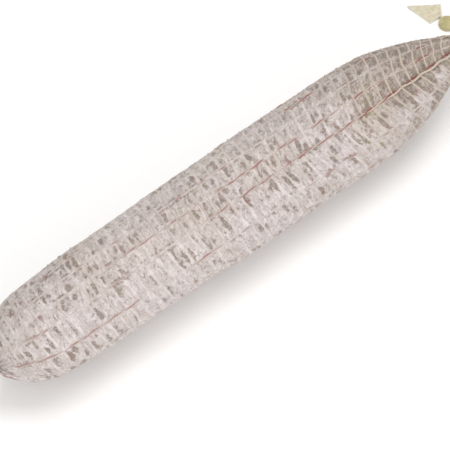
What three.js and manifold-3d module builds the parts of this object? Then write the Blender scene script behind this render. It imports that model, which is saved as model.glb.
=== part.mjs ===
// A whole cured sausage in its woven string net, lying on its side, with the seal and card that hang
// from its tied tail.
//
// Millimetres, +Z up. +X runs from the blunt end to the tail. The origin is on the surface that the
// sausage rests on, under the middle of its length. The net is a gauze weave: one weft thread winds
// round the sausage from end to end, over the warp strings that run lengthwise along the casing.

import * as THREE from "three";
import { mergeVertices } from "three/addons/utils/BufferGeometryUtils.js";
import Module from "manifold-3d";

// The sausage. Lengths are along its axis.
const BODY_LENGTH = 525; // from the blunt end's tie to the tail's tie
const BODY_RADIUS = 45.4;
const SETTLED_DEPTH = 2; // how much the soft underside flattens under its own weight
const DOME_LENGTH = 48;
const DOME_SPRING = 14.4; // how far out the dome springs from the blunt end's neck
const DOME_ROUNDNESS = 27; // how far back from the shoulder the dome stays full
const SHOULDER_RADIUS = 39.9; // where the dome meets the barrel
const BARREL_FULLNESS = 40; // how far from the shoulder the barrel keeps its slope
const TAPER_LENGTH = 175;
const TAPER_SHOULDER = 97; // how far along the taper the barrel's fullness is carried
const TAIL_SLOPE = { along: 94, out: 35 }; // the slope at which the taper runs into its neck
const BLUNT_NECK = { radius: 6, length: 7 };
const BLUNT_TUFT = { radius: 9, length: 6 };
const TAIL_NECK = { radius: 7.8, length: 10 };
const TAIL_TUFT = { radius: 12, length: 12 };

// The net and the ties. Heights are above the casing.
const CLEARANCE = 0.3;
const WARP = { width: 1.8, thickness: 0.8 };
const WEFT = { width: 1.4, thickness: 1, pitch: 11.4 };
const WEFT_END_GAP = 14; // at least this far from each neck to the nearest turn, before any lean
// The net sits askew: its turns lean towards the blunt end on one side, with this slope.
const NET_LEAN = { slope: 0.36, direction: THREE.MathUtils.degToRad(119) };
const TIE_STRING = 1.5;
const TAIL_TIE_TURNS = 4;
const BLUNT_TIE_TURNS = 3;
// Directions of the warp strings round the axis, in degrees. -90 is the underside, 0 the +Y side.
const WARP_ANGLES = [-90, -60, -34, -10, 15, 38, 60, 81, 101, 121, 154, 188, 218, 244];

// The string that hangs from the tail's tie, and the seal and card on it.
const CORD_DIAMETER = 1.5;
const SEAL = { radius: 8, thickness: 4.2, rim: 0.7, x: 284.6, y: 51.4 };
const CARD_THICKNESS = 0.8;
const CARD_CORNER = { x: 273.5, y: 62.5, turn: THREE.MathUtils.degToRad(6) };
const CARD_OUTLINE = [[0, 0], [14, 0], [24.5, 8], [0, 28.5]];

const SIDES = 24; // flat sides round the sausage and in each turn of thread
const STEPS = 10; // straight steps in each curve of the outline
const CORD_SIDES = 8;
const CORD_STEPS = 44;
const SEAL_SIDES = 28;

// A flat-sided turn of thread dips this far between its corners.
const CHORD_SAG =
  (BODY_RADIUS + WARP.thickness + WEFT.thickness) * (1 - Math.cos(Math.PI / SIDES));
const WARP_BASE = CLEARANCE;
const WEFT_BASE = WARP_BASE + WARP.thickness + CLEARANCE + CHORD_SAG;
const NET_THICKNESS = WEFT_BASE + WEFT.thickness;
const AXIS_HEIGHT = BODY_RADIUS + NET_THICKNESS - SETTLED_DEPTH;
const OVERALL_LENGTH =
  BLUNT_TUFT.length + BLUNT_NECK.length + BODY_LENGTH + TAIL_NECK.length + TAIL_TUFT.length;
const BLUNT_TIE_X = BLUNT_TUFT.length + BLUNT_NECK.length - OVERALL_LENGTH / 2;
const TAIL_TIE_X = BLUNT_TIE_X + BODY_LENGTH;

const COLOURS = {
  casing: "#c9beb8",
  cream: "#ddd3c2",
  redAndCream: "#c79a90",
  seal: "#b9ad74",
  card: "#e9e2c0",
};

// The outline of the casing as (place along the axis, radius), from tuft to tuft.
function casingOutline() {
  const path = new THREE.Path();
  const domeEnd = BLUNT_TIE_X + DOME_LENGTH;
  const taperStart = TAIL_TIE_X - TAPER_LENGTH;
  path.moveTo(-OVERALL_LENGTH / 2, BLUNT_TUFT.radius);
  path.lineTo(BLUNT_TIE_X - BLUNT_NECK.length, BLUNT_NECK.radius);
  path.lineTo(BLUNT_TIE_X, BLUNT_NECK.radius);
  path.bezierCurveTo(
    BLUNT_TIE_X + 1, DOME_SPRING,
    domeEnd - DOME_ROUNDNESS, SHOULDER_RADIUS - 1,
    domeEnd, SHOULDER_RADIUS,
  );
  path.bezierCurveTo(
    domeEnd + BARREL_FULLNESS, (SHOULDER_RADIUS + BODY_RADIUS) / 2,
    taperStart - 2 * BARREL_FULLNESS, BODY_RADIUS,
    taperStart, BODY_RADIUS,
  );
  path.bezierCurveTo(
    taperStart + TAPER_SHOULDER, BODY_RADIUS,
    TAIL_TIE_X - TAIL_SLOPE.along, TAIL_NECK.radius + TAIL_SLOPE.out,
    TAIL_TIE_X, TAIL_NECK.radius,
  );
  path.lineTo(TAIL_TIE_X + TAIL_NECK.length, TAIL_NECK.radius);
  path.lineTo(OVERALL_LENGTH / 2, TAIL_TUFT.radius);
  return path.getPoints(STEPS);
}

const outline = casingOutline();
const distances = outline.map(() => 0);
for (let i = 1; i < outline.length; i += 1) {
  distances[i] = distances[i - 1] + outline[i].distanceTo(outline[i - 1]);
}

// The outward normal at each corner of the outline, shared between the two straight steps there.
const normals = outline.map((point, i) => {
  const before = outline[Math.max(i - 1, 0)];
  const after = outline[Math.min(i + 1, outline.length - 1)];
  const into = point.clone().sub(before).normalize();
  const onward = after.clone().sub(point).normalize();
  const along = into.add(onward).normalize();
  return new THREE.Vector2(-along.y, along.x);
});

// The distance along the outline at which it reaches a place along the axis.
function distanceAt(x) {
  const i = outline.findIndex((point) => point.x >= x);
  const share = (x - outline[i - 1].x) / (outline[i].x - outline[i - 1].x);
  return THREE.MathUtils.lerp(distances[i - 1], distances[i], share);
}

// The step of the outline that a distance along it falls in, and how far through that step.
function stepAt(distance) {
  const last = distances.length - 1;
  const i = distance >= distances[last] ? last : Math.max(1, distances.findIndex((d) => d >= distance));
  return { i, share: (distance - distances[i - 1]) / (distances[i] - distances[i - 1]) };
}

// How far a leaning turn is shifted along the outline at an angle.
function leanAt(distance, angle, slope) {
  const { i, share } = stepAt(distance);
  const radius = THREE.MathUtils.lerp(outline[i - 1].y, outline[i].y, share);
  return -slope * radius * Math.cos(angle - NET_LEAN.direction);
}

// A point at a distance along the outline, an angle round the axis and a height above the casing.
// The underside is settled flat.
function onSausage(distance, angle, height) {
  const { i, share } = stepAt(distance);
  const skin = outline[i - 1].clone().lerp(outline[i], share);
  const normal = normals[i - 1].clone().lerp(normals[i], share).normalize();
  const radius = skin.y + normal.y * height;
  const z = Math.max(AXIS_HEIGHT + radius * Math.sin(angle), NET_THICKNESS - height);
  return new THREE.Vector3(skin.x + normal.x * height, radius * Math.cos(angle), z);
}

// Moves every vertex of a geometry to where "toPoint" sends it.
function reshape(geometry, toPoint) {
  const position = geometry.getAttribute("position");
  for (let i = 0; i < position.count; i += 1) {
    const to = toPoint(position.getX(i), position.getY(i), position.getZ(i));
    position.setXYZ(i, to.x, to.y, to.z);
  }
  geometry.computeVertexNormals();
  return geometry;
}

// The casing and the meat in it: one solid of revolution with a settled underside.
function casingGeometry() {
  const onAxis = (point) => new THREE.Vector2(point.x, 0);
  const profile = [onAxis(outline[0]), ...outline, onAxis(outline[outline.length - 1])];
  const corners = profile.map((p) => new THREE.Vector2(p.y, p.x));
  const turned = new THREE.LatheGeometry(corners, SIDES, Math.PI / SIDES);
  return reshape(turned, (x, y, z) => {
    const height = Math.max(AXIS_HEIGHT + z, NET_THICKNESS);
    return new THREE.Vector3(y, -x, height);
  });
}

// A string laid lengthwise along the casing, with a step at each corner of the outline.
function warpGeometry(degrees) {
  const steps = outline.length - 1;
  const strip = new THREE.BoxGeometry(steps, WARP.width, WARP.thickness, steps, 1, 1);
  const middle = THREE.MathUtils.degToRad(degrees);
  return reshape(strip, (x, y, z) => {
    const i = Math.round(x + steps / 2);
    const height = WARP_BASE + WARP.thickness / 2 + z;
    return onSausage(distances[i], middle - y / outline[i].y, height);
  });
}

// A thread wound round the sausage, with a flat side under it at each whole turn. Its first flat
// side is "start" along the outline, before any lean.
function woundGeometry({ start, pitch, turns, width, base, thickness, slope = 0 }) {
  const coil = new THREE.BoxGeometry(turns, width, thickness, turns * SIDES, 1, 1);
  return reshape(coil, (x, y, z) => {
    const turn = x + turns / 2 - 0.5 / SIDES;
    const angle = 2 * Math.PI * turn - Math.PI / 2;
    const along = start + pitch * turn;
    return onSausage(along + leanAt(along, angle, slope) + y, angle, base + thickness / 2 + z);
  });
}

// The weft: a whole number of turns, one of which passes under the origin.
function weftGeometry() {
  const middle = distanceAt(0) - leanAt(distanceAt(0), -Math.PI / 2, NET_LEAN.slope);
  const before = Math.floor((middle - distanceAt(BLUNT_TIE_X) - WEFT_END_GAP) / WEFT.pitch);
  const after = Math.floor((distanceAt(TAIL_TIE_X) - WEFT_END_GAP - middle) / WEFT.pitch);
  return woundGeometry({
    ...WEFT,
    start: middle - before * WEFT.pitch,
    turns: before + after,
    base: WEFT_BASE,
    slope: NET_LEAN.slope,
  });
}

// A string wound tightly round one of the necks, over the warp strings, centred on the neck.
function tieGeometry(neckMiddle, turns) {
  const pitch = TIE_STRING + CLEARANCE;
  return woundGeometry({
    start: distanceAt(neckMiddle) - (turns * pitch) / 2,
    pitch,
    turns,
    width: TIE_STRING,
    thickness: TIE_STRING,
    base: WARP_BASE + WARP.thickness + CLEARANCE,
  });
}

const wasm = await Module();
wasm.setup();

// A closed three.js geometry as a manifold-3d solid.
function solid(geometry) {
  const bare = geometry.clone();
  bare.deleteAttribute("normal");
  bare.deleteAttribute("uv");
  const merged = mergeVertices(bare);
  return new wasm.Manifold(
    new wasm.Mesh({
      numProp: 3,
      vertProperties: merged.attributes.position.array,
      triVerts: new Uint32Array(merged.index.array),
    }),
  );
}

// A manifold-3d solid as a three.js geometry.
function geometryOf(made) {
  const { vertProperties, triVerts } = made.getMesh();
  const geometry = new THREE.BufferGeometry();
  geometry.setAttribute("position", new THREE.BufferAttribute(vertProperties, 3));
  geometry.setIndex(new THREE.BufferAttribute(triVerts, 1));
  geometry.computeVertexNormals();
  return geometry;
}

// The seal: a pressed disc with bevelled rims, bored across for the string.
function sealGeometry() {
  const { radius, thickness, rim } = SEAL;
  const profile = [
    [0, 0],
    [radius - rim, 0],
    [radius, rim],
    [radius, thickness - rim],
    [radius - rim, thickness],
    [0, thickness],
  ];
  const disc = new THREE.LatheGeometry(
    profile.map(([r, z]) => new THREE.Vector2(r, z)),
    SEAL_SIDES,
  ).rotateX(Math.PI / 2);
  const bore = new THREE.CylinderGeometry(
    CORD_DIAMETER / 2 + CLEARANCE,
    CORD_DIAMETER / 2 + CLEARANCE,
    4 * radius,
    CORD_SIDES,
  ).translate(0, 0, thickness / 2);
  return geometryOf(solid(disc).subtract(solid(bore)));
}

function cardGeometry() {
  const shape = new THREE.Shape(CARD_OUTLINE.map(([x, y]) => new THREE.Vector2(x, y)));
  return new THREE.ExtrudeGeometry(shape, { depth: CARD_THICKNESS, bevelEnabled: false });
}

// The string's route, chosen by hand: out of the tail's tie, down to the surface under its own
// weight, through the seal and up to the card's edge.
const FLOOR = CORD_DIAMETER / 2 + 0.05; // the height of its middle line where it lies
const CORD_ROUTE = [
  [263.4, 11.05, 46.2],
  [263.4, 14.6, 46.2],
  [263.5, 18.2, 45.3],
  [263.8, 21.4, 42.4],
  [264.3, 23.7, 37.2],
  [265, 25.3, 29.8],
  [266, 26.6, 21.4],
  [267.3, 28, 13.4],
  [269.2, 30, 6.8],
  [272, 32.2, 2.4],
  [275.6, 34.3, FLOOR + 0.1],
  [279.3, 36.4, FLOOR],
  [282.6, 38.9, FLOOR + 0.3],
  [284.3, 41, SEAL.thickness / 2 - 0.3],
  [SEAL.x, SEAL.y - SEAL.radius - 1.2, SEAL.thickness / 2],
  [SEAL.x, SEAL.y - SEAL.radius - 0.4, SEAL.thickness / 2],
  [SEAL.x, SEAL.y, SEAL.thickness / 2],
  [SEAL.x, SEAL.y + SEAL.radius + 0.4, SEAL.thickness / 2],
  [SEAL.x, SEAL.y + SEAL.radius + 1.2, SEAL.thickness / 2],
  [284.8, 62, FLOOR + 0.5],
  [285.1, 63.2, FLOOR + 0.1],
];

function cordGeometry() {
  const route = new THREE.CatmullRomCurve3(
    CORD_ROUTE.map(([x, y, z]) => new THREE.Vector3(x, y, z)),
  );
  const section = new THREE.Shape();
  for (let i = 0; i < CORD_SIDES; i += 1) {
    const angle = ((i + 0.5) * 2 * Math.PI) / CORD_SIDES;
    const x = (CORD_DIAMETER / 2) * Math.cos(angle);
    const y = (CORD_DIAMETER / 2) * Math.sin(angle);
    if (i === 0) section.moveTo(x, y);
    else section.lineTo(x, y);
  }
  section.closePath();
  return new THREE.ExtrudeGeometry(section, {
    steps: CORD_STEPS,
    extrudePath: route,
    bevelEnabled: false,
  });
}

const part = new THREE.Group();

function add(name, geometry, color, roughness = 0.85) {
  const material = new THREE.MeshStandardMaterial({ color, roughness, metalness: 0 });
  const mesh = new THREE.Mesh(geometry, material);
  mesh.name = name;
  part.add(mesh);
  return mesh;
}

add("sausage", casingGeometry(), COLOURS.casing, 0.9);
add("net_weft", weftGeometry(), COLOURS.cream);
WARP_ANGLES.forEach((degrees, i) => {
  const number = String(i + 1).padStart(2, "0");
  add(`net_warp_${number}`, warpGeometry(degrees), COLOURS.redAndCream);
});
add("blunt_tie", tieGeometry(BLUNT_TIE_X - BLUNT_NECK.length / 2, BLUNT_TIE_TURNS), COLOURS.cream);
add("tail_tie", tieGeometry(TAIL_TIE_X + TAIL_NECK.length / 2, TAIL_TIE_TURNS), COLOURS.cream);
add("seal_string", cordGeometry(), COLOURS.cream);
add("seal", sealGeometry(), COLOURS.seal, 0.45).position.set(SEAL.x, SEAL.y, 0);
const card = add("card", cardGeometry(), COLOURS.card, 0.8);
card.position.set(CARD_CORNER.x, CARD_CORNER.y, 0);
card.rotation.z = CARD_CORNER.turn;

export default part;
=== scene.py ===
"""A whole cured sausage in its string net, with the seal and card on its tail, on a pale floor.

Metres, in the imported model's frame: +Z up, +X from the blunt end to the tail, origin on the floor
under the middle. Angles round the sausage are in radians from +Y, and -90 degrees is the underside.
Every place on the casing is given by s, the distance along its outline, and by such an angle.
"""

import math

import bpy
import numpy as np
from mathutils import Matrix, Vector


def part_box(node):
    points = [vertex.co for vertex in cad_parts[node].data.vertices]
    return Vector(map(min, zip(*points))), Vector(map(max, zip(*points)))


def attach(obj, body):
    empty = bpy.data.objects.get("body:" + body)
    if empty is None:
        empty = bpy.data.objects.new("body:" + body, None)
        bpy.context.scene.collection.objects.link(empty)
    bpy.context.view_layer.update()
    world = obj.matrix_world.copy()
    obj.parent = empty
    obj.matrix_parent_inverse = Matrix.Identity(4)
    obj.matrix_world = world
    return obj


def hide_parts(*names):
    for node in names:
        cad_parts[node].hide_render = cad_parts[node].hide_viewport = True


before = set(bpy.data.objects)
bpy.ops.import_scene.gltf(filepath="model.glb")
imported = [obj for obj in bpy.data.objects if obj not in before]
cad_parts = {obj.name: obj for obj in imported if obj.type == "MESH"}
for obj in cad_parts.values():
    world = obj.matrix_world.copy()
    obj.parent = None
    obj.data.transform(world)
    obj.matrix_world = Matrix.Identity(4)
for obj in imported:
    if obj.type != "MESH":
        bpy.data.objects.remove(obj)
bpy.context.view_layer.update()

MM = 0.001
CAD_SIDES = 24  # flat sides round the CAD sausage

# The camera.
EYE = (-0.8579, -0.9925, 1.8371)
AIM = (-0.0355, -0.01481, 0.046)
LENS = 209.6
SENSOR_WIDTH = 36

# The casing's mesh and the fine shape on it.
ALONG = 860
ROUND = 440
UNDERSIDE_SAG = 1.0 * MM
CASING_FLOOR = 1.15 * MM  # the net lies under the casing
SETTLE_SOFTNESS = 1.2 * MM  # how gradually it flattens there
LUMPS = 1.1 * MM
PILLOW = 0.55 * MM  # how far the casing swells between the strings
GROOVE = 0.4 * MM  # how far bare strings bite into it
FILLET = 0.3 * MM  # how far the bloom banks up against buried strings
HOOP_RIDGE, WARP_RIDGE = 0.9 * MM, 1.0 * MM  # the half widths of the ridges over the strings

# The net.
HOOP_PITCH = 11.4 * MM
HOOP_RADIUS = 0.7 * MM
HOOP_END_GAP = 14 * MM
NET_LEAN, LEAN_DIRECTION = 0.36, math.radians(119)  # as in the CAD
CHEVRON = 5 * MM  # how far the near side's main string pulls each hoop towards the blunt end
TAIL_SWEEP = 11 * MM  # how far the hoops beside that string are drawn tailwards on the taper
SWEEP_START, SWEEP_FULL, SWEEP_LAST = -0.05, 0.2, 0.235  # the places in X that it runs between
GATHER_START, GATHER_FULL = 0.225, 0.255  # where the strings come together at the tail's neck
STRAND_RADIUS = 0.5 * MM
STRAND_SIDES = 6
TIE_STRING = 1.55 * MM
TIE_TURNS = {"tail_tie": 4, "blunt_tie": 3}
CORD = 1.5 * MM
PLY = 1.4 * MM  # the length of one twist of the yarn
TUBE_TIP = 0.4  # how far a tube's tips stick out, as a share of its radius
TIP_DUST = 0.5  # the bloom on the tips of the net's strings, from 0 to 1

# The seal and the card.
SEAL_POINTS_AROUND = 144
SEAL_RIBS, SEAL_RIB_DEPTH = 36, 0.16  # the depth and the next three are in mm
SEAL_EDGE_FROM = 7.9  # the radius outside which the ribs are cut
SEAL_EDGE_MIDDLE, SEAL_RIB_REACH = 2.1, 1.3  # the height where they are deepest, and their reach
CARD_CORNERS = ((273.5, 62.2), (287.4, 61.9), (297.0, 73.0), (270.6, 90.8))  # mm, as in the CAD
CARD_CORNER_RADIUS = 1.2 * MM
CARD_THICKNESS = 0.45 * MM
CARD_CLEARANCE = 0.05 * MM  # above the floor
CARD_RINGS = 26

# Every colour given as sRGB is darkened by this, because the white studio lights it from all sides.
STUDIO_GAIN = 0.71


# ---------------------------------------------------------------- camera, light and floor


def make_camera():
    camera = bpy.data.cameras.new("camera")
    camera.lens = LENS
    camera.sensor_width = SENSOR_WIDTH
    camera.clip_end = 20
    eye = bpy.data.objects.new("camera", camera)
    eye.location = EYE
    eye.rotation_euler = (Vector(AIM) - Vector(EYE)).to_track_quat("-Z", "Y").to_euler()
    bpy.context.scene.collection.objects.link(eye)
    bpy.context.scene.camera = eye


def make_light(name, place, aim, size, watts, colour=(1, 1, 1)):
    lamp = bpy.data.lights.new(name, "AREA")
    lamp.shape = "RECTANGLE"
    lamp.size, lamp.size_y = size
    lamp.energy = watts
    lamp.color = colour
    holder = bpy.data.objects.new(name, lamp)
    holder.location = place
    holder.rotation_euler = (Vector(aim) - Vector(place)).to_track_quat("-Z", "Y").to_euler()
    bpy.context.scene.collection.objects.link(holder)


def make_studio():
    world = bpy.data.worlds.new("studio")
    bpy.context.scene.world = world
    world.use_nodes = True
    world.node_tree.nodes["Background"].inputs["Color"].default_value = (1, 0.99, 0.98, 1)
    world.node_tree.nodes["Background"].inputs["Strength"].default_value = 0.75
    make_light("overhead", (0.3, 0.3, 1.9), (0, 0, 0), (1.6, 1.2), 20.5)
    make_light("front", (-0.7, -1.65, 0.85), (0, 0, 0.03), (1.5, 0.9), 19, (1, 0.985, 0.98))
    scene = bpy.context.scene
    scene.view_settings.view_transform = "Standard"
    scene.view_settings.look = "None"

    bpy.ops.mesh.primitive_plane_add(size=14)
    floor = bpy.context.object
    floor.name = "studio_floor"
    made = new_material("studio_floor", roughness=0.9)
    made.shader.inputs["Base Color"].default_value = (0.875, 0.872, 0.868, 1)
    floor.data.materials.append(made.material)


# ---------------------------------------------------------------- noise


def lattice_noise(points, size, seed):
    """Smooth noise from -1 to 1 at each point, with lumps about "size" across."""
    table = np.random.RandomState(seed).uniform(-1, 1, (32, 32, 32))
    at = points / size + 1000.5
    cell = np.floor(at).astype(int)
    share = at - cell
    share = share * share * share * (share * (6 * share - 15) + 10)
    total = 0
    for corner in np.ndindex(2, 2, 2):
        weight = np.prod(np.where(corner, share, 1 - share), axis=-1)
        i, j, k = np.moveaxis((cell + corner) % 32, -1, 0)
        total = total + weight * table[i, j, k]
    return total


def rough_noise(points, size, seed, octaves=3):
    total = 0
    for octave in range(octaves):
        total = total + lattice_noise(points, size / 2**octave, seed + octave) / 2**octave
    return total / 1.5


def smooth_step(low, high, value):
    share = np.clip((value - low) / (high - low), 0, 1)
    return share * share * (3 - 2 * share)


# ---------------------------------------------------------------- the casing's outline


def read_outline():
    """The CAD outline's corners as (x, radius), and the height of the axis."""
    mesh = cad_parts["sausage"].data
    corners = np.array([v.co for v in mesh.vertices], float)
    rings = np.unique(corners[:, 0].round(5))
    widest = [np.abs(corners[np.abs(corners[:, 0] - x) < 2e-5, 1]).max() for x in rings]
    low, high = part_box("tail_tie")
    radii = np.array(widest) / math.cos(math.pi / CAD_SIDES)
    return rings, radii, (low.z + high.z) / 2


RING_X, RING_R, AXIS = read_outline()
RING_S = np.concatenate([[0], np.cumsum(np.hypot(np.diff(RING_X), np.diff(RING_R)))])
LENGTH = RING_S[-1]


def cubic(at, known_at, known):
    """A smooth curve through known values that never overshoots them."""
    step = np.diff(known_at)
    slope = np.diff(known) / step
    inner = np.where(slope[1:] * slope[:-1] > 0, 2 * slope[1:] * slope[:-1], 0)
    inner = inner / np.where(inner == 0, 1, slope[1:] + slope[:-1])
    tangent = np.concatenate([[slope[0]], inner, [slope[-1]]])
    i = np.clip(np.searchsorted(known_at, at) - 1, 0, len(step) - 1)
    t = (at - known_at[i]) / step[i]
    a, b = known[i], known[i + 1]
    ta, tb = tangent[i] * step[i], tangent[i + 1] * step[i]
    return a + ta * t + (3 * (b - a) - 2 * ta - tb) * t**2 + (2 * (a - b) + ta + tb) * t**3


def x_at(s):
    return cubic(s, RING_S, RING_X)


def radius_at(s):
    return cubic(s, RING_S, RING_R)


def s_at(x):
    return float(np.interp(x, RING_X, RING_S))


TAIL_TIE_S = s_at(sum(corner.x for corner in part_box("tail_tie")) / 2)
BLUNT_TIE_S = s_at(sum(corner.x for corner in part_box("blunt_tie")) / 2)
TAIL_NECK_S = s_at(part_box("tail_tie")[0].x)
BLUNT_NECK_S = s_at(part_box("blunt_tie")[1].x)


def settle(z, floor):
    """Heights with what would sink below the floor pressed flat onto it."""
    over = (z - floor) / SETTLE_SOFTNESS
    pressed = np.where(over > 20, over, np.log1p(np.exp(np.minimum(over, 20))))
    return floor + SETTLE_SOFTNESS * pressed


def on_casing(s, angle, height, floor):
    """Points at a height above the plain casing."""
    nudge = 0.3 * MM
    x, r = x_at(s), radius_at(s)
    dx, dr = x_at(s + nudge) - x_at(s - nudge), radius_at(s + nudge) - radius_at(s - nudge)
    run = np.hypot(dx, dr)
    out = r + height * dx / run
    x = x - height * dr / run
    under = np.clip(-np.sin(angle), 0, 1) ** 3 * np.clip(r / (40 * MM), 0, 1) ** 2
    z = AXIS + out * np.sin(angle) - UNDERSIDE_SAG * under
    return np.stack([x, out * np.cos(angle), settle(z, floor)], axis=-1)


# ---------------------------------------------------------------- where the net's strings run

WARP_ANGLES = np.radians([-90, -60, -34, -10, 15, 38, 60, 81, 101, 121, 154, 188, 218, 244])
WARPS = len(WARP_ANGLES)
MAIN_WARP = 9  # the near side's main string
UNDER = -math.pi / 2


def warp_angle(number, s):
    """The direction of a warp string at s: it wanders a little from its mean."""
    place = np.stack([s, np.full_like(s, 0.05 * number), np.zeros_like(s)], axis=-1)
    wander = 1.3 * MM * rough_noise(place, 60 * MM, 11, 2)
    return WARP_ANGLES[number % WARPS] + wander / np.maximum(radius_at(s), 8 * MM)


def hoop_slant(s, angle):
    """How far a hoop is shifted along the sausage: the net sits askew, in a shallow chevron."""
    lean = -NET_LEAN * radius_at(s) * np.cos(angle - LEAN_DIRECTION)
    to_tail = smooth_step(s_at(SWEEP_START), s_at(SWEEP_FULL), s)
    to_tail = to_tail * smooth_step(TAIL_NECK_S, s_at(SWEEP_LAST), s)
    aside = np.abs((angle - LEAN_DIRECTION + math.pi) % (2 * math.pi) - math.pi)
    chevron = np.exp(-aside / 0.75) * (0.35 + 0.65 * to_tail)
    sweep = smooth_step(0, 1.1, aside) * smooth_step(3.1, 1.5, aside) * to_tail
    ends = np.clip((s - BLUNT_NECK_S) / (40 * MM), 0, 1)
    return lean - CHEVRON * chevron * ends + TAIL_SWEEP * sweep


def lane(s, angle):
    """The place along the sausage that a point would have if the net weren't askew."""
    plain = s
    for _ in range(4):
        plain = s - hoop_slant(plain, angle)
    return plain


MIDDLE_TURN = s_at(0) - hoop_slant(np.array([s_at(0)]), np.array([UNDER]))[0]
HOOPS_BEFORE = math.floor((MIDDLE_TURN - BLUNT_NECK_S - HOOP_END_GAP) / HOOP_PITCH)
FIRST_HOOP = MIDDLE_TURN - HOOP_PITCH * HOOPS_BEFORE
HOOPS = int((TAIL_NECK_S - HOOP_END_GAP * 0.6 - FIRST_HOOP) / HOOP_PITCH) + 1
HOOP_RANDOM = np.random.RandomState(5)
CELL_START = HOOP_RANDOM.normal(0, 0.75, (HOOPS + 2, WARPS)) * MM
CELL_END = HOOP_RANDOM.normal(0, 0.75, (HOOPS + 2, WARPS)) * MM
CELL_BOW = HOOP_RANDOM.normal(0.2, 0.55, (HOOPS + 2, WARPS)) * MM


def hoop_place(hoop, angle):
    """The place s of a hoop at an angle from -90 to 270 degrees: it jogs at each warp string."""
    plain = FIRST_HOOP + HOOP_PITCH * (hoop + (angle - UNDER) / (2 * math.pi))
    turn = np.clip(np.searchsorted(WARP_ANGLES, angle, side="right") - 1, 0, WARPS - 1)
    ends = np.append(WARP_ANGLES, WARP_ANGLES[0] + 2 * math.pi)
    share = (angle - ends[turn]) / (ends[turn + 1] - ends[turn])
    before, after = (turn - 1) % WARPS, (turn + 1) % WARPS
    row = np.where(turn == 0, hoop - 1, hoop)
    next_row = np.where(turn == WARPS - 1, hoop + 1, hoop)
    start, end = CELL_START[hoop, turn], CELL_END[hoop, turn]
    offset = start + (end - start) * share + CELL_BOW[hoop, turn] * np.sin(math.pi * share)
    at_start = (start + CELL_END[row, before]) / 2
    at_end = (end + CELL_START[next_row, after]) / 2
    offset += (at_start - start) * (1 - smooth_step(0, 0.14, share))
    offset += (at_end - end) * smooth_step(0.86, 1, share)
    offset *= np.clip((plain - BLUNT_NECK_S) / (30 * MM), 0, 1)
    return plain + offset + hoop_slant(plain, angle)


def net_fields(s_line, angle_line):
    """For a grid over the casing: the cell's row and column, and the place in the cell."""
    rows = np.zeros((len(s_line), len(angle_line)))
    for column, angle in enumerate(angle_line):
        places = np.array([hoop_place(hoop, np.array([angle]))[0] for hoop in range(HOOPS)])
        order = np.maximum.accumulate(places)
        rows[:, column] = np.interp(
            s_line, order, np.arange(HOOPS), left=-9, right=HOOPS + 9
        )
    columns = np.zeros_like(rows)
    lines = np.stack([warp_angle(n, s_line) for n in range(WARPS)], axis=1)
    lines = np.hstack([lines, lines[:, :1] + 2 * math.pi])
    for row in range(len(s_line)):
        wrapped = (angle_line - lines[row, 0]) % (2 * math.pi) + lines[row, 0]
        columns[row] = np.interp(wrapped, lines[row], np.arange(WARPS + 1))
    return rows, columns


# ---------------------------------------------------------------- the casing's shape and masks


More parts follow.
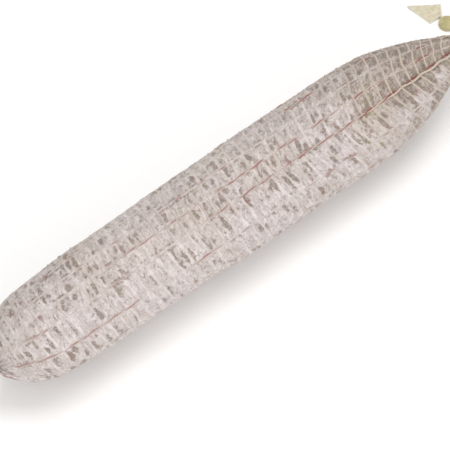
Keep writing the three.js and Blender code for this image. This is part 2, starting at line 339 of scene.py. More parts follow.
class Casing:
    """A grid over the casing with its fine height and the masks that its material reads."""

    def __init__(self):
        self.s = np.linspace(0, LENGTH, ALONG + 1)
        self.angle = UNDER + 2 * math.pi * np.arange(ROUND) / ROUND
        s, angle = np.meshgrid(self.s, self.angle, indexing="ij")
        plain = on_casing(s, angle, 0 * s, -1)
        rows, columns = net_fields(self.s, self.angle)
        self.lane = lane(s, angle)
        self.paint(s, angle, plain, rows, columns)
        self.shape(s, angle, plain)

    def paint(self, s, angle, plain, rows, columns):
        """The masks from 0 to 1: ridges over strings, dark patches (partly painted shade beside the
        strings), thin bloom with painted shade on the upper side, and warm tints.
        """
        radius = radius_at(s)
        hoop, warp = np.floor(rows).astype(int), np.floor(columns).astype(int) % WARPS
        across, up = rows - np.floor(rows), columns - np.floor(columns)
        inside = (rows >= 0) & (rows < HOOPS)
        from_hoop = np.where(inside, np.minimum(across, 1 - across) * HOOP_PITCH, 4 * MM)
        ends = np.append(WARP_ANGLES, WARP_ANGLES[0] + 2 * math.pi)
        width = np.diff(ends)[warp] * radius
        from_warp = np.minimum(up, 1 - up) * width
        self.near_hoop = np.exp(-((from_hoop / HOOP_RIDGE) ** 2))
        self.near_warp = np.exp(-((from_warp / WARP_RIDGE) ** 2))
        self.middle = np.where(inside, np.sin(math.pi * across), 0.5)
        self.middle = self.middle**0.6 * np.sin(math.pi * up) ** 0.35

        # Up to two dark patches in each cell of the net, and marks close beside the warp strings:
        # the casing showing through the bloom, and by the strings partly painted shade.
        chance = np.random.RandomState(8).uniform(0, 1, (6, HOOPS + 2, WARPS))
        row = np.clip(hoop, 0, HOOPS)
        pick = [layer[row, warp] for layer in chance]
        wobble = rough_noise(plain, 4 * MM, 21, 3)
        patches = 0
        for first, side in ((0, 0.24), (3, 0.74)):
            centre_up = 0.18 + 0.64 * pick[first]
            reach = (0.16 + 0.26 * pick[first + 1]) * (1 + 0.7 * wobble)
            far = ((across - side - 0.15 * wobble) / 0.2) ** 2
            far = far + ((up - centre_up + 0.16 * wobble) / reach) ** 2
            strength = np.clip(pick[first + 2] ** 1.6 * 1.5 - 0.12, 0, 1)
            patches = np.maximum(patches, strength * (1 - smooth_step(0.25, 1.5, far)))
        patches = np.where(inside, patches, 0)
        beside = np.exp(-(((from_warp - 1.7 * MM) / (1.3 * MM)) ** 2))
        mark_breaks = rough_noise(plain, 13 * MM, 23, 2)
        main = (warp + (up > 0.5)) % WARPS == MAIN_WARP
        strong = main * smooth_step(0.02, 0.12, plain[..., 0])
        beside = beside * smooth_step(0.12, 0.5, mark_breaks + 0.24 * strong) * (1 + 0.5 * strong)

        # The bloom is thinnest on the upper side of the taper and by the neck, and this mask also
        # paints shade on the upper side all along, which leaves the lower side paler.
        broad = rough_noise(plain, 70 * MM, 31, 3)
        toward_tail = smooth_step(0.07, 0.215, plain[..., 0])
        upper = smooth_step(2.7, 1.95, angle + 0.25 * broad) * smooth_step(-1.0, 0.3, angle)
        by_neck = smooth_step(0.225, 0.262, plain[..., 0])
        rising = smooth_step(-0.2, 0.2, plain[..., 0])
        bare = (0.42 + 0.58 * upper) * toward_tail + 0.22 * upper + 0.5 * by_neck
        blotches = 0.95 * rough_noise(plain, 14 * MM, 35, 3) * toward_tail
        bare = np.clip(bare + 0.2 * broad + 0.14 * rising - 0.05 + blotches, 0, 1)
        clean = smooth_step(0.02, 0.42, rough_noise(plain, 42 * MM, 33, 2))
        patches = patches * (1.0 - 0.7 * clean * (1 - bare)) * (0.85 + 0.3 * broad + 0.25 * bare)
        self.patches = np.maximum(patches, beside * (0.75 + 0.3 * broad + 0.25 * bare))
        self.bare = bare
        self.warm = np.clip(0.35 + 0.6 * rough_noise(plain, 45 * MM, 41, 3), 0, 1)

    def shape(self, s, angle, plain):
        """The fine height: lumps, swellings between the strings, dents and wrinkles."""
        radius = radius_at(s)
        barrel = smooth_step(6 * MM, 26 * MM, radius)
        lumps = LUMPS * lattice_noise(plain, 48 * MM, 51)
        lumps = lumps + 0.35 * MM * rough_noise(plain, 14 * MM, 52)
        swell = PILLOW * (self.middle - 0.55)
        string = np.maximum(self.near_hoop, self.near_warp)
        groove = string * (FILLET * (1 - self.bare) - GROOVE * self.bare)
        dents = -0.35 * MM * self.patches
        wrinkles = 0.17 * MM * rough_noise(plain * [3.2, 1, 1], 8 * MM, 61, 3)
        self.height = barrel * (lumps + swell) + (0.3 + 0.7 * barrel) * groove
        self.height += dents * barrel + wrinkles
        self.height += (1 - barrel) * self.pleats(s, angle)

    def pleats(self, s, angle):
        """Folds that gather the casing into each neck and fan out in the tufts past it."""
        folds = 11 * angle + 2.2 * np.sin(3 * angle + 1) + 1.3 * np.sin(5 * angle + s / (9 * MM))
        fine = 23 * angle + 1.7 * np.sin(4 * angle + 2)
        tuft = smooth_step(TAIL_TIE_S, LENGTH, s) + smooth_step(BLUNT_TIE_S, 0, s)
        at_tie = np.exp(-(((s - TAIL_TIE_S) / (6 * MM)) ** 2))
        at_tie += np.exp(-(((s - BLUNT_TIE_S) / (5 * MM)) ** 2))
        depth = (0.9 + 1.3 * tuft) * MM * (1 - 0.75 * np.clip(at_tie, 0, 1))
        ridges = np.abs(np.sin(folds / 2)) ** 0.7 * 1.3 - 0.9 + 0.25 * np.sin(fine)
        return depth * ridges

    def look_up(self, field, s, angle):
        """A field's value between the grid's points."""
        i = np.clip(s / LENGTH * ALONG, 0, ALONG - 1e-6)
        j = ((angle - UNDER) / (2 * math.pi) % 1) * ROUND
        i0, j0 = i.astype(int), j.astype(int) % ROUND
        a, b = i - i0, j - np.floor(j)
        j1 = (j0 + 1) % ROUND
        low = field[i0, j0] * (1 - b) + field[i0, j1] * b
        high = field[i0 + 1, j0] * (1 - b) + field[i0 + 1, j1] * b
        return low * (1 - a) + high * a

    def place(self, s, angle, height, floor):
        """Points at a height above the fine surface."""
        return on_casing(s, angle, height + self.look_up(self.height, s, angle), floor)


# ---------------------------------------------------------------- meshes


def new_piece(name, points, faces, replaces, material, values=None, uv=None):
    """A smooth mesh that rides on the root, with point values for its material to read."""
    mesh = bpy.data.meshes.new(name)
    mesh.from_pydata(points.tolist(), [], faces)
    for key, value in (values or {}).items():
        layer = mesh.attributes.new(key, "FLOAT", "POINT")
        layer.data.foreach_set("value", np.asarray(value, np.float32).ravel())
    if uv is not None:
        corner = np.empty(len(mesh.loops), np.int32)
        mesh.loops.foreach_get("vertex_index", corner)
        layer = mesh.uv_layers.new(name="along_string")
        layer.data.foreach_set("uv", uv[corner].astype(np.float32).ravel())
    mesh.shade_smooth()
    mesh.materials.append(material)
    piece = bpy.data.objects.new(name, mesh)
    bpy.context.scene.collection.objects.link(piece)
    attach(piece, "root")
    if replaces:
        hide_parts(*replaces)
    return piece


def capped(rings, first, last):
    """Points and faces of a closed mesh: rings of points between a first and a last point.

    Seen from outside, each ring runs anticlockwise about the way that the rings follow each other.
    """
    rows, columns = rings.shape[:2]
    i, j = np.meshgrid(np.arange(rows - 1), np.arange(columns), indexing="ij")
    a = i * columns + j
    b = i * columns + (j + 1) % columns
    faces = np.stack([a, b, b + columns, a + columns], axis=-1).reshape(-1, 4).tolist()
    count = rows * columns
    for j in range(columns):
        k = (j + 1) % columns
        faces.append([count, k, j])
        faces.append([count + 1, count - columns + j, count - columns + k])
    return np.vstack([rings.reshape(-1, 3), first, last]), faces


def tube(path, radius, sides=8):
    """Points of a tube along a path, closed with a tip at each end, and its faces and UVs."""
    path = np.asarray(path, float)
    tangent = np.gradient(path, axis=0)
    tangent /= np.linalg.norm(tangent, axis=1, keepdims=True)
    up = carried_frame(tangent)
    side = np.cross(up, tangent)
    turn = 2 * math.pi * np.arange(sides) / sides
    radius = np.broadcast_to(radius, len(path)).copy()
    distance = np.concatenate([[0], np.cumsum(np.linalg.norm(np.diff(path, axis=0), axis=1))])
    ring = np.cos(turn)[None, :, None] * side[:, None] + np.sin(turn)[None, :, None] * up[:, None]
    points, faces = capped(
        path[:, None] + radius[:, None, None] * ring,
        path[0] - tangent[0] * radius[0] * TUBE_TIP,
        path[-1] + tangent[-1] * radius[-1] * TUBE_TIP,
    )
    around = np.abs(2 * turn / (2 * math.pi) - 1)
    uv = np.stack([np.repeat(distance, sides), np.tile(around, len(path))], axis=1)
    uv = np.vstack([uv, [[0, 0.5], [distance[-1], 0.5]]])
    return points, faces, uv


def carried_frame(tangent):
    """A side vector carried along a path without twisting."""
    up = np.empty_like(tangent)
    first = np.cross(tangent[0], [0.3, 0.2, 1.0])
    up[0] = first / np.linalg.norm(first)
    for i in range(1, len(tangent)):
        flat = up[i - 1] - np.dot(up[i - 1], tangent[i]) * tangent[i]
        up[i] = flat / np.linalg.norm(flat)
    return up


def tube_values(along, sides, at_tips):
    """A value along a path as one at each of its tube's points."""
    return np.append(np.repeat(along, sides), [at_tips, at_tips])


def joined(parts):
    """Several (points, faces, uv) as one."""
    points, faces, uvs, base = [], [], [], 0
    for some_points, some_faces, uv in parts:
        points.append(some_points)
        uvs.append(uv)
        faces.extend([[i + base for i in face] for face in some_faces])
        base += len(some_points)
    return np.vstack(points), faces, np.vstack(uvs)


# ---------------------------------------------------------------- materials


class Nodes:
    """A material with short ways to add and link its nodes."""

    def __init__(self, name):
        self.material = bpy.data.materials.new(name)
        self.material.use_nodes = True
        self.tree = self.material.node_tree
        self.shader = self.tree.nodes["Principled BSDF"]

    def node(self, kind, inputs=None, **settings):
        made = self.tree.nodes.new(kind)
        for key, value in settings.items():
            setattr(made, key, value)
        for key, value in (inputs or {}).items():
            self.feed(made.inputs[key], value)
        return made

    def feed(self, socket, value):
        if isinstance(value, bpy.types.NodeSocket):
            self.tree.links.new(value, socket)
        else:
            socket.default_value = value

    def value(self, name):
        return self.node("ShaderNodeAttribute", attribute_name=name).outputs["Fac"]

    def coordinates(self, stretch=(1, 1, 1)):
        place = self.node("ShaderNodeTexCoord").outputs["Object"]
        return self.node("ShaderNodeMapping", {"Vector": place, "Scale": stretch}).outputs[0]

    def hoopwise(self, stretch):
        """Coordinates that follow the askew hoops, so that stretched streaks run along them."""
        place = self.node("ShaderNodeTexCoord").outputs["Object"]
        split = self.node("ShaderNodeSeparateXYZ", {"Vector": place})
        along = self.math("MULTIPLY", self.value("lane"), stretch)
        inputs = {"X": along, "Y": split.outputs[1], "Z": split.outputs[2]}
        return self.node("ShaderNodeCombineXYZ", inputs).outputs[0]

    def noise(self, size, detail=3.0, rough=0.55, where=None, distortion=0.0):
        """Noise with features about "size" metres across."""
        inputs = {
            "Vector": where or self.coordinates(),
            "Scale": 1 / size,
            "Detail": detail,
            "Roughness": rough,
            "Distortion": distortion,
        }
        return self.node("ShaderNodeTexNoise", inputs).outputs["Fac"]

    def math(self, operation, a, b=0.0):
        made = self.node("ShaderNodeMath", operation=operation)
        self.feed(made.inputs[0], a)
        self.feed(made.inputs[1], b)
        return made.outputs[0]

    def ramp(self, value, low, high):
        """0 at low to 1 at high, smoothly."""
        inputs = {"Value": value, "From Min": low, "From Max": high}
        made = self.node("ShaderNodeMapRange", inputs, interpolation_type="SMOOTHSTEP")
        return made.outputs["Result"]

    def mix(self, share, a, b):
        made = self.node("ShaderNodeMix", data_type="RGBA")
        self.feed(made.inputs[0], share)
        self.feed(made.inputs[6], colour(a))
        self.feed(made.inputs[7], colour(b))
        return made.outputs[2]

    def bump(self, height, distance, strength):
        inputs = {"Height": height, "Distance": distance, "Strength": strength}
        return self.node("ShaderNodeBump", inputs).outputs[0]


def colour(value):
    """A node's socket as it is, or sRGB 0 to 255 as a linear colour."""
    if isinstance(value, bpy.types.NodeSocket):
        return value
    share = [v / 255 for v in value]
    linear = [v / 12.92 if v <= 0.04045 else ((v + 0.055) / 1.055) ** 2.4 for v in share]
    return (*(STUDIO_GAIN * v for v in linear), 1)


def new_material(name, roughness):
    made = Nodes(name)
    made.shader.inputs["Roughness"].default_value = roughness
    return made


def casing_material():
    """A brown-grey casing under a powdery pinkish-white bloom, with dark marks where the bloom
    thins out, and painted shade beside the strings and on the upper side.
    """
    made = new_material("bloomed_casing", roughness=0.88)
    mottle = made.noise(8e-3, 4, 0.7, made.hoopwise(1.7), 0.5)
    grain = made.noise(2.8e-3, 4, 0.75, made.hoopwise(2.2), 0.5)
    streak = made.noise(10e-3, 3, 0.62, made.hoopwise(3.4), 0.4)
    powder = made.noise(1.3e-3, 3, 0.7)
    bare = made.value("bare")
    patches = made.value("patches")
    warm = made.value("warm")
    string = made.value("string")

    # What shows through the bloom: grey-brown, olive in places and reddish in a few.
    under = made.mix(made.ramp(grain, 0.38, 0.62), (84, 66, 54), (148, 128, 108))
    yellowed = made.ramp(made.math("ADD", warm, made.math("MULTIPLY", bare, 0.2)), 0.4, 0.8)
    olive = made.math("MULTIPLY", yellowed, made.ramp(mottle, 0.45, 0.6))
    under = made.mix(olive, under, (148, 134, 84))
    reddish = made.ramp(made.noise(7e-3, 2, 0.5), 0.55, 0.66)
    under = made.mix(made.math("MULTIPLY", reddish, 0.75), under, (134, 84, 72))

    # The bloom itself: whiter on its thick parts, pinkish-grey or tan on its thin ones.
    bloom = made.mix(made.ramp(mottle, 0.35, 0.65), (196, 182, 180), (244, 236, 237))
    bloom = made.mix(made.math("MULTIPLY", warm, 0.35), bloom, (214, 203, 186))
    bloom = made.mix(made.math("MULTIPLY", bare, 0.55), bloom, (192, 174, 153))

    # How much of the darker under colour shows: where the bloom thins out, plus painted shade on
    # the upper side and beside the strings.
    thin_bloom_and_shade = made.math("MULTIPLY", bare, 0.55)
    thin_bloom_and_shade = made.math("ADD", thin_bloom_and_shade, made.math("MULTIPLY", patches, 0.5))
    for field, weight in ((grain, 3.4), (mottle, 2.0), (streak, 2.4)):
        part = made.math("MULTIPLY", made.math("SUBTRACT", field, 0.5), weight)
        thin_bloom_and_shade = made.math("ADD", thin_bloom_and_shade, part)
    thin_bloom_and_shade = made.math("SUBTRACT", thin_bloom_and_shade, made.math("MULTIPLY", string, 0.5))
    thin_bloom_and_shade = made.ramp(thin_bloom_and_shade, -0.25, 1.05)
    base = made.mix(made.math("MULTIPLY", thin_bloom_and_shade, 0.78), bloom, under)

    # Small ragged dark marks, crowded in the patches beside the strings and rare elsewhere; by the
    # strings they are partly painted shade.
    marks = made.noise(3.8e-3, 4, 0.62, made.hoopwise(1.4), 0.15)
    for field, weight in ((patches, 0.21), (bare, 0.125), (string, -0.08)):
        marks = made.math("ADD", marks, made.math("MULTIPLY", field, weight))
    marks = made.ramp(marks, 0.56, 0.72)
    base = made.mix(made.math("MULTIPLY", marks, 0.72), base, under)
    base = made.mix(made.math("MULTIPLY", string, 0.42), base, (234, 224, 216))
    tint = made.math("MULTIPLY", made.ramp(powder, 0.42, 0.66), 0.3)
    base = made.mix(tint, base, (240, 233, 233))
    made.feed(made.shader.inputs["Base Color"], base)

    rough = made.math("SUBTRACT", 0.95, made.math("MULTIPLY", thin_bloom_and_shade, 0.3))
    made.feed(made.shader.inputs["Roughness"], rough)
    fine = made.math("MULTIPLY", powder, 0.35)
    height = made.math("ADD", made.math("MULTIPLY", grain, 0.9), fine)
    height = made.math("ADD", height, made.math("MULTIPLY", streak, 0.7))
    height = made.math("SUBTRACT", height, made.math("MULTIPLY", marks, 0.35))
    made.feed(made.shader.inputs["Normal"], made.bump(height, 0.7e-3, 0.85))
    made.shader.inputs["Sheen Weight"].default_value = 0.08
    made.shader.inputs["Sheen Roughness"].default_value = 0.6
    return made.material


def string_material(name, clean, dusty, bloom=0.75):
    """Twisted yarn: "clean" where it is uncovered and "dusty" where the bloom covers it, with
    painted shade in the grooves of its twist and painted highlights on its fluff.
    """
    made = new_material(name, roughness=0.85)
    place = made.node("ShaderNodeUVMap", uv_map="along_string").outputs[0]
    split = made.node("ShaderNodeSeparateXYZ", {"Vector": place})
    lay = made.math("ADD", made.math("DIVIDE", split.outputs[0], PLY), split.outputs[1])
    twist = made.math("SINE", made.math("MULTIPLY", lay, 2 * math.pi))
    twist = made.ramp(twist, -1.0, 1.0)
    fluff = made.noise(0.5e-3, 3, 0.6)
    stain = made.noise(6e-3, 3, 0.6)
    dust = made.math("MULTIPLY", made.value("dust"), bloom)
    dust = made.math("ADD", dust, made.math("MULTIPLY", made.math("SUBTRACT", stain, 0.5), 0.9))
    dust = made.ramp(dust, 0.05, 0.85)
    # The shaded copy is painted shade in the twist's grooves, and the lit copy a painted highlight.
    shaded, lit = tuple(v * 0.8 for v in clean), tuple(min(255, v * 1.08) for v in clean)
    yarn = made.mix(twist, shaded, clean)
    yarn = made.mix(made.math("MULTIPLY", fluff, 0.35), yarn, lit)
    made.feed(made.shader.inputs["Base Color"], made.mix(dust, yarn, dusty))
    height = made.math("ADD", twist, made.math("MULTIPLY", fluff, 0.5))
    made.feed(made.shader.inputs["Normal"], made.bump(height, 0.25e-3, 0.9))
    made.shader.inputs["Sheen Weight"].default_value = 0.2
    made.shader.inputs["Sheen Roughness"].default_value = 0.5
    return made.material


def seal_material():
    """Satin pale olive-yellow plastic, clouded a little darker in places and scuffed paler."""
    made = new_material("seal", roughness=0.42)
    cloud = made.noise(5e-3, 4, 0.6)
    scuff = made.noise(0.8e-3, 4, 0.6, made.coordinates((1, 3, 1)))
    base = made.mix(made.ramp(cloud, 0.3, 0.7), (184, 174, 118), (214, 203, 150))
    base = made.mix(made.math("MULTIPLY", made.ramp(scuff, 0.55, 0.75), 0.5), base, (228, 220, 182))
    made.feed(made.shader.inputs["Base Color"], base)
    rough = made.math("ADD", 0.3, made.math("MULTIPLY", scuff, 0.3))
    made.feed(made.shader.inputs["Roughness"], rough)
    made.feed(made.shader.inputs["Normal"], made.bump(scuff, 0.08e-3, 0.6))
    made.shader.inputs["Coat Weight"].default_value = 0.15
    return made.material


def card_material():
    """Blank cream card with fine fibres, mottled, with a painted highlight along its edges."""
    made = new_material("card", roughness=0.7)
    cloud = made.noise(4.5e-3, 4, 0.65)
    fibre = made.noise(0.7e-3, 4, 0.6, made.coordinates((1, 2.5, 1)))
    base = made.mix(made.ramp(cloud, 0.32, 0.68), (222, 211, 176), (242, 234, 212))
    blotch = made.ramp(made.noise(2.4e-3, 3, 0.6), 0.56, 0.7)
    base = made.mix(made.math("MULTIPLY", blotch, 0.35), base, (206, 187, 144))
    # A painted highlight along the edges.
    base = made.mix(made.value("edge"), base, (254, 250, 238))
    made.feed(made.shader.inputs["Base Color"], base)
    made.feed(made.shader.inputs["Normal"], made.bump(fibre, 0.1e-3, 0.6))
    return made.material


# ---------------------------------------------------------------- pieces


def build_casing(casing):
    s, angle = np.meshgrid(casing.s, casing.angle, indexing="ij")
    grid = on_casing(s, angle, casing.height, CASING_FLOOR)
    dip = np.array([0.5 * MM, 0, 0])
    points, faces = capped(grid, grid[0].mean(0) + dip, grid[-1].mean(0) - dip)
    values = {
        key: np.append(field.ravel(), [field[0].mean(), field[-1].mean()])
        for key, field in (
            ("bare", casing.bare),
            ("patches", casing.patches),
            ("warm", casing.warm),
            ("lane", casing.lane),
            ("string", np.maximum(casing.near_hoop, casing.near_warp)),
        )
    }
    return new_piece("casing", points, faces, ["sausage"], casing_material(), values)


def dust_on(casing, s, angle):
    """How thickly the bloom covers a string."""
    return 1 - 1.15 * casing.look_up(casing.bare, s, angle)


# How much of each warp string the bloom leaves in sight at the blunt end, the middle and the taper.
# MAIN_WARP is a thick pair on the taper.
WARP_SHOWS = (
    (0.2, 0.2, 0.3), (0.3, 0.3, 0.4), (0.3, 0.25, 0.4), (0.3, 0.3, 0.4), (0.15, 0.15, 0.35),
    (0.15, 0.15, 0.35), (0.25, 0.2, 0.3), (0.3, 0.3, 0.35), (0.25, 0.7, 0.4), (0.4, 0.5, 1.3),
    (0.6, 0.35, 0.25), (0.2, 0.15, 0.25), (0.3, 0.3, 0.35), (0.3, 0.3, 0.4),
)


def buried(number, s):
    """1 where a warp string is under the bloom, 0 where it's in sight."""
    place = np.stack([s, np.full_like(s, 0.07 * number), np.zeros_like(s)], axis=-1)
    shows = np.interp(s, [s_at(-0.2), s_at(-0.03), s_at(0.17)], WARP_SHOWS[number])
    shows = shows + 0.7 * smooth_step(s_at(GATHER_START), s_at(GATHER_FULL), s)
    return 1 - smooth_step(-0.25, 0.25, 1.1 * rough_noise(place, 17 * MM, 17, 2) + shows - 0.55)


def build_hoops(casing):
    steps = 190
    sides = 8
    angle = UNDER + 2 * math.pi * np.arange(steps) / steps
    s_all, angle_all = [], []
    for hoop in range(HOOPS - 1):
        s_all.append(hoop_place(hoop, angle))
        angle_all.append(angle)
    s, angle = np.concatenate(s_all), np.concatenate(angle_all)
    turn = np.arange(len(s)) / steps
    smooth = np.convolve(np.pad(s, 1, mode="edge"), [0.25, 0.5, 0.25], "valid")
    bare = casing.look_up(casing.bare, smooth, angle)
    shows = 1.9 * rough_noise(on_casing(smooth, angle, 0 * smooth, -1), 20 * MM, 19, 2)
    shows = smooth_step(-0.25, 1.7, shows + 2.1 * bare + 0.1)
    rise = (-0.85 + 1.05 * shows) * MM + 0.3 * MM * casing.look_up(casing.near_warp, smooth, angle)
    rise += 0.12 * MM * np.sin(turn * 37)
    path = casing.place(smooth, angle, rise, HOOP_RADIUS * 0.9)
    thick = HOOP_RADIUS * (1 + 0.1 * np.sin(turn * 61.3) + 0.08 * np.sin(turn * 23.7 + 1))
    thick = thick * (0.8 + 0.5 * bare)
    points, faces, uv = tube(path, thick, sides)
    dust = tube_values(dust_on(casing, smooth, angle), sides, TIP_DUST)
    material = string_material("cream_string", (228, 212, 194), (214, 204, 199))
    values = {"dust": dust}
    new_piece("net_hoops", points, faces, ["net_weft"], material, values, uv)
    return material


def build_warps(casing, cream):
    """Each warp is a pair of strands that cross over at every hoop."""
    red = string_material("red_string", (186, 82, 70), (214, 194, 188), bloom=0.8)
    s = np.arange(1.5 * MM, LENGTH - 1.5 * MM, (0.9) * MM)
    for number in range(WARPS):
        middle = warp_angle(number, s)
        turned = UNDER + (middle - UNDER) % (2 * math.pi)
        rows = (lane(s, turned) - FIRST_HOOP) / HOOP_PITCH - (turned - UNDER) / (2 * math.pi)
        swing = math.pi * rows + 0.6 * np.sin(s / (33 * MM) + number)
        main = number == MAIN_WARP
        start, full = (0.08, 0.2) if main else (0.15, 0.24)
        to_tail = smooth_step(s_at(start), s_at(full), s)
        gathered = smooth_step(s_at(GATHER_START), s_at(GATHER_FULL), s)
        spread = (0.5 + 0.75 * to_tail) * MM
        spread = np.minimum(spread, radius_at(s) * math.pi / WARPS * 0.55)
        for strand, (name, material) in enumerate((("red", red), ("cream", cream))):
            swung = swing + math.pi * strand
            apart = 0.6 * to_tail * (1 - 2 * strand)
            aside = spread * (np.cos(swung) * (1 - 0.55 * to_tail) - apart)
            hidden = buried(number, s)
            rise = (0.3 - 0.9 * hidden) * MM + 0.42 * MM * np.sin(swung)
            swollen = (0.2, 1.3)[strand] if main else 0.1
            rise = rise + ((0.6, 1.2)[strand] * MM * to_tail if main else 0)
            angle = middle + aside / np.maximum(radius_at(s), 5 * MM)
            path = casing.place(s, angle, rise, STRAND_RADIUS)
            thick = STRAND_RADIUS * (1 + swollen * to_tail)
            points, faces, uv = tube(path, thick, STRAND_SIDES)
            dust = dust_on(casing, s, angle) * 0.6 + 0.8 * hidden
            if main:
                dust = dust - 0.7 * to_tail
            else:
                dust = np.maximum(dust, 0.3 * (1 - gathered))
            dust = tube_values(dust, STRAND_SIDES, TIP_DUST)
            node = [f"net_warp_{number + 1:02d}"]
            label = f"warp_{number + 1:02d}_{name}"
            new_piece(label, points, faces, node, material, {"dust": dust}, uv)


def tie_path(centre, turns):
    """The path of a string wound tightly round a neck; knot() makes the knot on top."""
    steps = 40
    t = np.linspace(0, turns, int(turns * steps))
    s = centre + (t - turns / 2) * TIE_STRING * 1.02 + 0.2 * MM * np.sin(t * 4.1)
    angle = 1.2 + 2 * math.pi * t
    rise = 1.1 * MM + TIE_STRING / 2 + 0.15 * MM * np.sin(math.pi * t / turns)
    return on_casing(s, angle, rise, CORD / 2)


def build_ties(material):
    for name, centre in (("tail_tie", TAIL_TIE_S), ("blunt_tie", BLUNT_TIE_S)):
        path = tie_path(centre, TIE_TURNS[name])
        parts = [tube(path, TIE_STRING / 2, 10)]
        top = on_casing(np.array([centre]), np.array([1.75]), np.array([3.2 * MM]), 0)[0]
        parts += knot(top)
        points, faces, uv = joined(parts)
        dust = {"dust": np.full(len(points), 0.1)}
        label = name + "_string"
        new_piece(label, points, faces, [name], material, dust, uv)


def knot(centre):
    """An overhand knot with two short tails."""
    t = np.linspace(0, 2 * math.pi, 90)
    loop = np.stack(
        [
            (np.sin(t) + 2 * np.sin(2 * t)) * 0.95 * MM,
            (np.cos(t) - 2 * np.cos(2 * t)) * 0.95 * MM,
            -np.sin(3 * t) * 0.75 * MM + 0.3 * MM,
        ],
        axis=1,
    )
    tails = []
    for side in (-1, 1):
        u = np.linspace(0, 1, 24)
        tail = np.stack(
            [
                side * (1.5 + 9 * u) * MM,
                (1.6 * np.sin(2.4 * u) * side + 1.0) * MM,
                (0.4 + 2.2 * u * (1 - u) * 2 - 2.4 * u * u) * MM,
            ],
            axis=1,
        )
        tails.append(tube(centre + tail, TIE_STRING / 2 * 0.95, 8))
    return [tube(centre + loop, TIE_STRING / 2 * 0.95, 8)] + tails


# The seal string's points in millimetres, as in the CAD.
CORD_ROUTE = [
    (263.4, 11.05, 46.2), (263.4, 14.6, 46.2), (263.5, 18.2, 45.3), (263.8, 21.4, 42.4),
    (264.3, 23.7, 37.2), (265, 25.3, 29.8), (266, 26.6, 21.4), (267.3, 28, 13.4),
    (269.2, 30, 6.8), (272, 32.2, 2.4), (275.6, 34.3, 0.9), (279.3, 36.4, 0.8),
    (282.6, 38.9, 1.1), (284.3, 41, 1.8), (284.6, 42.2, 2.1), (284.6, 43, 2.1),
    (284.6, 51.4, 2.1), (284.6, 59.8, 2.1), (284.6, 60.6, 2.1), (284.8, 62, 1.3),
    (285.1, 63.2, 0.9),
]


def smooth_route(points, steps=10):
    """A centripetal curve through a route's points, as the CAD's is."""
    p = np.array(points, float)
    p = np.vstack([2 * p[0] - p[1], p, 2 * p[-1] - p[-2]])
    line = []
    for i in range(1, len(p) - 2):
        p0, p1, p2, p3 = p[i - 1 : i + 3]
        t = [0.0]
        for a, b in ((p0, p1), (p1, p2), (p2, p3)):
            t.append(t[-1] + math.sqrt(np.linalg.norm(b - a)))
        for u in np.linspace(t[1], t[2], steps, endpoint=False):
            a1 = (t[1] - u) / t[1] * p0 + u / t[1] * p1
            a2 = (t[2] - u) / (t[2] - t[1]) * p1 + (u - t[1]) / (t[2] - t[1]) * p2
            a3 = (t[3] - u) / (t[3] - t[2]) * p2 + (u - t[2]) / (t[3] - t[2]) * p3
            b1 = (t[2] - u) / t[2] * a1 + u / t[2] * a2
            b2 = (t[3] - u) / (t[3] - t[1]) * a2 + (u - t[1]) / (t[3] - t[1]) * a3
            line.append((t[2] - u) / (t[2] - t[1]) * b1 + (u - t[1]) / (t[2] - t[1]) * b2)
    line.append(p[-2])
    return np.array(line) * MM


def build_cord(material):
    """The seal's string: a smooth limp cord from the tail's tie, through the seal, to the card."""
    path = smooth_route(CORD_ROUTE)
    points, faces, uv = tube(path, CORD / 2, 12)
    dust = {"dust": np.full(len(points), 0.05)}
    nodes = ["seal_string"]
    piece = new_piece("seal_cord", points, faces, nodes, material, dust, uv)
    length = np.linalg.norm(np.diff(path, axis=0), axis=1).sum()
    return piece, path, length


def build_seal():
    """A pressed disc with a raised rim, a shallow plain dish and a ribbed edge."""
    # Radius and height in millimetres, from the middle of its base to the middle of its face.
    profile = np.array(
        [
            (0, 0.25), (5.6, 0.25), (6.1, 0.02), (7.2, 0.0), (7.75, 0.35), (8.0, 0.95), (8.0, 2.1),
            (8.0, 3.2), (7.8, 3.85), (7.3, 4.2), (6.5, 4.2), (6.05, 4.05), (5.8, 3.75), (5.3, 3.55),
            (3.2, 3.55), (2.6, 3.7), (1.6, 3.95), (0, 4.0),
        ]
    )
    fine = np.linspace(0, len(profile) - 1, 120)
    r = np.interp(fine, np.arange(len(profile)), profile[:, 0])
    z = np.interp(fine, np.arange(len(profile)), profile[:, 1])
    soften = np.array([0.2, 0.6, 0.2])
    r = np.convolve(np.pad(r, 1, mode="edge"), soften, "valid")
    z = np.convolve(np.pad(z, 1, mode="edge"), soften, "valid")
    around = 2 * math.pi * np.arange(SEAL_POINTS_AROUND) / SEAL_POINTS_AROUND
    on_edge = r > SEAL_EDGE_FROM
    ribs = (np.clip(1 - np.abs(z - SEAL_EDGE_MIDDLE) / SEAL_RIB_REACH, 0, 1) * on_edge)[:, None]
    dips = 0.5 + 0.5 * np.cos(SEAL_RIBS * around)
    rr = r[:, None] - SEAL_RIB_DEPTH * ribs * dips[None, :]
    low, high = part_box("seal")
    centre = (low + high) / 2
    grid = np.stack(
        [
            centre.x + rr * MM * np.cos(around),
            centre.y + rr * MM * np.sin(around),
            low.z + np.broadcast_to(z[:, None] * MM, rr.shape),
        ],
        axis=-1,
    )
    points, faces = capped(grid, grid[0].mean(0), grid[-1].mean(0))
    new_piece("seal_disc", points, faces, ["seal"], seal_material())


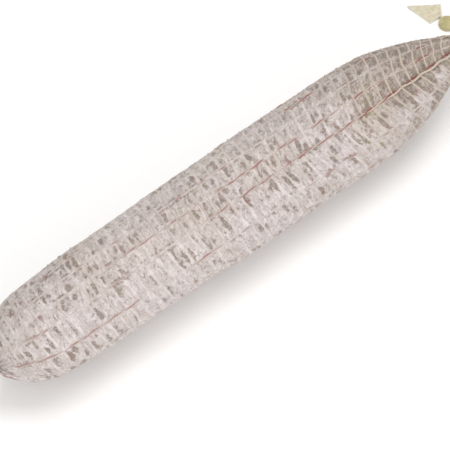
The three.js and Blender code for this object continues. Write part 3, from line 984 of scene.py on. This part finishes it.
def build_card():
    """A thin card, a little curled, with softened corners and one edge lifted over the string."""
    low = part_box("card")[0]
    outline = rounded(np.array(CARD_CORNERS) * MM, CARD_CORNER_RADIUS, 7)
    middle = outline.mean(0)
    rings = np.linspace(0, 1, CARD_RINGS)
    flat = middle + (outline - middle) * rings[:, None, None]
    x, y = flat[..., 0], flat[..., 1]
    at_string = np.exp(-((x - 285 * MM) ** 2 + (y - 62 * MM) ** 2) / (4.5 * MM) ** 2)
    far = smooth_step(78 * MM, 91 * MM, y)
    lift = 1.15 * MM * at_string + 0.9 * MM * far**2
    lift += 0.25 * MM * (1 + lattice_noise(np.stack([x, y, 0 * x], -1), 9 * MM, 71))
    lift = lift - lift.min()
    bottom = np.stack([x, y, low.z + CARD_CLEARANCE + lift], -1)
    top = bottom + [0, 0, CARD_THICKNESS]
    grid = np.concatenate([bottom[1:], top[:0:-1]])
    points, faces = capped(grid, bottom[0, 0], top[0, 0])
    # A painted highlight along the card's edges, on both faces.
    painted_edge_highlight = smooth_step(0.9, 1.0, rings[1:]) * 0.8
    edge = np.append(np.repeat(np.append(painted_edge_highlight, painted_edge_highlight[::-1]), len(outline)), [0, 0])
    new_piece("blank_card", points, faces, ["card"], card_material(), {"edge": edge})


def rounded(corners, radius, steps):
    """A polygon's outline with its corners rounded and its sides divided."""
    out = []
    for i, corner in enumerate(corners):
        before = corners[i - 1] - corner
        after = corners[(i + 1) % len(corners)] - corner
        start = corner + before / np.linalg.norm(before) * radius
        end = corner + after / np.linalg.norm(after) * radius
        for t in np.linspace(0, 1, steps):
            out.append((1 - t) ** 2 * start + 2 * t * (1 - t) * corner + t**2 * end)
        following = corners[(i + 1) % len(corners)]
        stop = following - after / np.linalg.norm(after) * radius
        for t in np.linspace(0, 1, 14)[1:-1]:
            out.append(end + (stop - end) * t)
    return np.array(out)


make_camera()
seal_string = string_material("seal_string", (222, 212, 190), (222, 212, 190))
cord, cord_path, cord_length = build_cord(seal_string)
make_studio()
casing = Casing()
build_casing(casing)
cream_string = build_hoops(casing)
build_warps(casing, cream_string)
build_ties(seal_string)
build_seal()
build_card()
